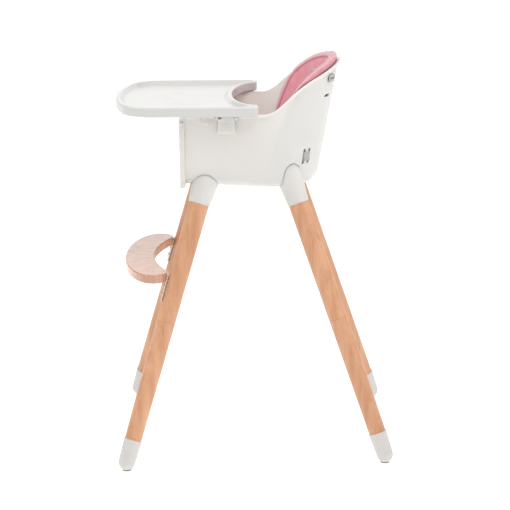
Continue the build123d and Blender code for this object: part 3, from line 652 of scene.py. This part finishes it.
def seat_seams(rest):
    """Distance, in mm, from each point of the seat pad to its edge and to its nearest seam."""
    half, back = bucket_size(SEAT_TOP, PAD_OUTER)
    outline = [(-half, SEAT_FRONT), (half, SEAT_FRONT), (half, BACK_START)]
    for angle in np.linspace(0, math.pi, 25)[1:]:
        outline.append((half * math.cos(angle), BACK_START + (back - BACK_START) * math.sin(angle)))
    outline.append(outline[0])
    edge = line_distance(rest[:, :2], np.array(outline))
    lengthwise = np.abs(np.abs(rest[:, 0]) - SEAT_SEAM_X)
    slot_ends = np.array([(-SEAT_SLOT_HALF, SEAT_SLOT_Y), (SEAT_SLOT_HALF, SEAT_SLOT_Y)])
    slot = line_distance(rest[:, :2], slot_ends)
    seam = np.minimum(np.abs(edge - SEAT_BORDER), np.where(edge > SEAT_BORDER, lengthwise, NO_SEAM))
    return edge, np.minimum(seam, np.abs(slot - SEAT_SLOT_SEAM))


def below_seat_top(rest):
    """How far points, in mm, lie under the seat pad's sloping top."""
    return SEAT_TOP - SEAT_SLOPE * rest[:, 1] - rest[:, 2]


def make_seat_pad():
    """The seat pad: a cover filled between its seams, with a slot for the crotch strap."""
    piece = soft_copy("seat_cushion", "seat_pad", 5.0, 0.8)
    keep_rest(piece)
    rest = rest_points(piece)
    _, seam = seat_seams(rest)
    below = below_seat_top(rest)
    top = below < SEAT_FACE
    inflate(piece, (below > 7.0) | (top & (seam < 2.8)), 8.0)
    subdivided(piece)
    rest = rest_points(piece)
    edge, seam = seat_seams(rest)
    below = below_seat_top(rest)
    sewn(piece, np.where(below < SEAT_FACE, seam, NO_SEAM), 1.8, 2.2, 0.8)
    mark(piece.data, "border", step(edge, SEAT_BORDER - 0.6, 1.2))
    # Painted shade: the seat pad's border seam is darkened, with thread colour and groove shadow together
    shade = np.clip(1.0 - np.abs(edge - SEAT_BORDER) / 1.6, 0, 0.6)
    mark(piece.data, "seam", np.where(below < 6.0, shade, 0.0))
    mark(piece.data, "lining_and_shade", step(-below, -SEAT_UNDERSIDE, 1.0))
    piece.data.materials.clear()
    piece.data.materials.append(MATERIALS["pad"])
    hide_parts("seat_cushion")
    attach(piece, "chair")


# ================================================================ harness webbing
def rounded(points, radii):
    """A bent line in a plane with each inner corner rounded."""
    points = [np.array(p, float) for p in points]
    line = [points[0]]
    for before, corner, after, radius in zip(points, points[1:], points[2:], radii):
        arrive = (corner - before) / np.linalg.norm(corner - before)
        leave = (after - corner) / np.linalg.norm(after - corner)
        turn = math.acos(float(np.clip(arrive @ leave, -1, 1)))
        left = 1 if arrive[0] * leave[1] - arrive[1] * leave[0] > 0 else -1
        start = corner - arrive * radius * math.tan(turn / 2)
        centre = start + left * radius * np.array([-arrive[1], arrive[0]])
        spoke = start - centre
        for share in np.linspace(0, 1, 9):
            angle = left * turn * share
            line.append(centre + np.array([spoke[0] * math.cos(angle) - spoke[1] * math.sin(angle),
                                           spoke[0] * math.sin(angle) + spoke[1] * math.cos(angle)]))
    return np.array(line + [points[-1]])


def even(line, gap):
    """The same line with points at most gap apart."""
    dense = [line[0]]
    for a, b in zip(line, line[1:]):
        count = max(1, math.ceil(np.linalg.norm(b - a) / gap))
        dense += [a + (b - a) * k / count for k in range(1, count + 1)]
    return np.array([p for i, p in enumerate(dense) if i == 0 or np.linalg.norm(p - dense[i - 1]) > 0.05])


def webbing_section():
    """Half width and height pairs round the ribbed section of the webbing, in mm."""
    half, thick = STRAP_WIDTH / 2, WEBBING_T / 2
    across = np.linspace(-half + 0.5, half - 0.5, 33)
    height = thick - RIB_DEPTH * (0.5 + 0.5 * np.cos(across * math.pi * 2 / RIB_PITCH))
    top = list(zip(across, height))
    bottom = [(x, -h) for x, h in top[::-1]]
    return [(-half, 0.0)] + top + [(half, 0.0)] + bottom


def webbing(name, node, line, place, across, sag=0.0):
    """Webbing along a plane line. place turns plane points into the row frame; across is its width."""
    line = even(line, 3.0)
    slope = np.gradient(line, axis=0)
    slope /= np.linalg.norm(slope, axis=1, keepdims=True)
    left = np.stack([-slope[:, 1], slope[:, 0]], axis=1)
    share = np.linspace(0, 1, len(line))
    ripple = np.array([noise.noise(Vector((7.0 * t, len(name), 0.5))) for t in share]) * sag
    middle = line + left * (STRAP_T / 2 + ripple * np.sin(math.pi * share))[:, None]
    section = webbing_section()
    builder = bmesh.new()
    rings = []
    for spot, out in zip(middle, left):
        centre, tip = place(spot), place(spot + out)
        normal = (tip - centre).normalized()
        rings.append([builder.verts.new((centre + across * x + normal * h) * MM) for x, h in section])
    tube(builder, rings)
    piece = finished(name, builder)
    piece.data.materials.append(MATERIALS["webbing"])
    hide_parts(node)
    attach(piece, "chair")
    rows = []
    run = run_along(middle)
    for back in STITCH_ROWS:
        at = run[-1] - back
        spot, turn = (np.array([np.interp(at, run, row[:, k]) for k in range(2)]) for row in (middle, left))
        centre = place(spot + turn)
        rows.append([centre - across * STITCH_HALF, centre + across * STITCH_HALF])
    stitches(f"{name}_stitches", rows, piece, "grey_thread", 2.0, 2.9, 0.3)


def make_harness():
    for word, side in SIDES.items():
        start = Vector((side * SHOULDER_START[0], SHOULDER_START[1], 0))
        run = Vector((side * SHOULDER_RUN[0], SHOULDER_RUN[1], 0)).normalized()

        def on_shoulder(p, start=start, run=run):
            return start + run * float(p[0]) + Vector((0, 0, float(p[1])))

        shoulder = rounded(SHOULDER_PATH, [6, 14, 20])
        webbing(f"shoulder_webbing_{word}", f"shoulder_strap_{word}", shoulder, on_shoulder,
                run.cross(Vector((0, 0, 1))), 0.5)
        centre, normal = np.array(WAIST_SLOT[:2]), np.array(WAIST_NORMAL)
        along = np.array([-normal[1], normal[0]])
        rear, front = centre + along * WAIST_BAR, centre - along * WAIST_BAR
        over_bar = [rear + normal * 1.6, front + normal * 1.6]
        stops = [rear - normal * 10, *over_bar, front - normal * 26, WAIST_END]

        def on_waist(p, side=side):
            return Vector((side * float(p[0]), float(p[1]), WAIST_SLOT[2]))

        webbing(f"waist_webbing_{word}", f"waist_strap_{word}", rounded(stops, [1.5, 1.5, 20]), on_waist,
                Vector((0, 0, 1)), 0.6)

    def on_crotch(p):
        return Vector((0, float(p[0]), float(p[1])))

    webbing("crotch_webbing", "crotch_strap", rounded(CROTCH_PATH, [6]), on_crotch, Vector((1, 0, 0)))


# ================================================================ studio
def make_camera():
    """A long lens at the chair's left side, looking down a little."""
    pitch, yaw, roll = CAMERA_PITCH, CAMERA_YAW, CAMERA_ROLL
    forward = Vector((-math.cos(pitch) * math.cos(yaw), math.cos(pitch) * math.sin(yaw), -math.sin(pitch)))
    right = forward.cross(Vector((0, 0, 1))).normalized()
    up = right.cross(forward)
    x = math.cos(roll) * right + math.sin(roll) * up
    y = math.cos(roll) * up - math.sin(roll) * right
    data = bpy.data.cameras.new("camera")
    data.sensor_width = CAMERA_SENSOR
    data.lens = CAMERA_LENS
    camera = bpy.data.objects.new("camera", data)
    turned = Matrix((x, y, -forward)).transposed().to_4x4()
    camera.matrix_world = Matrix.Translation(CAMERA_PLACE) @ turned
    bpy.context.scene.collection.objects.link(camera)
    bpy.context.scene.camera = camera


def area_light(name, place, target, size, power, colour):
    data = bpy.data.lights.new(name, "AREA")
    data.shape = "RECTANGLE"
    data.size, data.size_y = size
    data.energy = power
    data.color = colour
    lamp = bpy.data.objects.new(name, data)
    lamp.location = place
    lamp.rotation_euler = (Vector(target) - Vector(place)).to_track_quat("-Z", "Y").to_euler()
    bpy.context.scene.collection.objects.link(lamp)


def make_floor():
    """A plain white floor, bright enough to leave no edge behind the chair."""
    mesh = bpy.data.meshes.new("floor")
    half = FLOOR_HALF
    corners = [(-half, -half, 0), (half, -half, 0), (half, half, 0), (-half, half, 0)]
    mesh.from_pydata(corners, [], [(0, 1, 2, 3)])
    floor = bpy.data.objects.new("floor", mesh)
    bpy.context.scene.collection.objects.link(floor)
    material, tree, shader = new_material("floor_paper")
    paper = add_node(tree, "ShaderNodeTexNoise", Scale=3.0, Detail=2.0)
    link(tree, placed(tree), "Vector", paper, "Vector")
    tint = ramp(tree, paper, [(0.3, 0.86), (0.7, 0.88)])
    link(tree, tint, "Color", shader, "Base Color")
    shader.inputs["Emission Color"].default_value = (1, 1, 1, 1)
    shader.inputs["Emission Strength"].default_value = FLOOR_GLOW
    shader.inputs["Roughness"].default_value = 0.9
    shader.inputs["Specular IOR Level"].default_value = 0.1
    mesh.materials.append(material)


def make_studio():
    make_floor()
    world = bpy.data.worlds.new("studio")
    world.use_nodes = True
    background = world.node_tree.nodes["Background"]
    background.inputs["Color"].default_value = (1.0, 0.995, 0.985, 1)
    background.inputs["Strength"].default_value = WORLD_LIGHT
    scene = bpy.context.scene
    scene.world = world
    for name, settings in LAMPS.items():
        area_light(name, *settings)
    scene.view_settings.view_transform = "Standard"
    scene.view_settings.look = "None"


make_camera()
make_studio()
dress()
make_back_pad()
make_seat_pad()
make_harness()
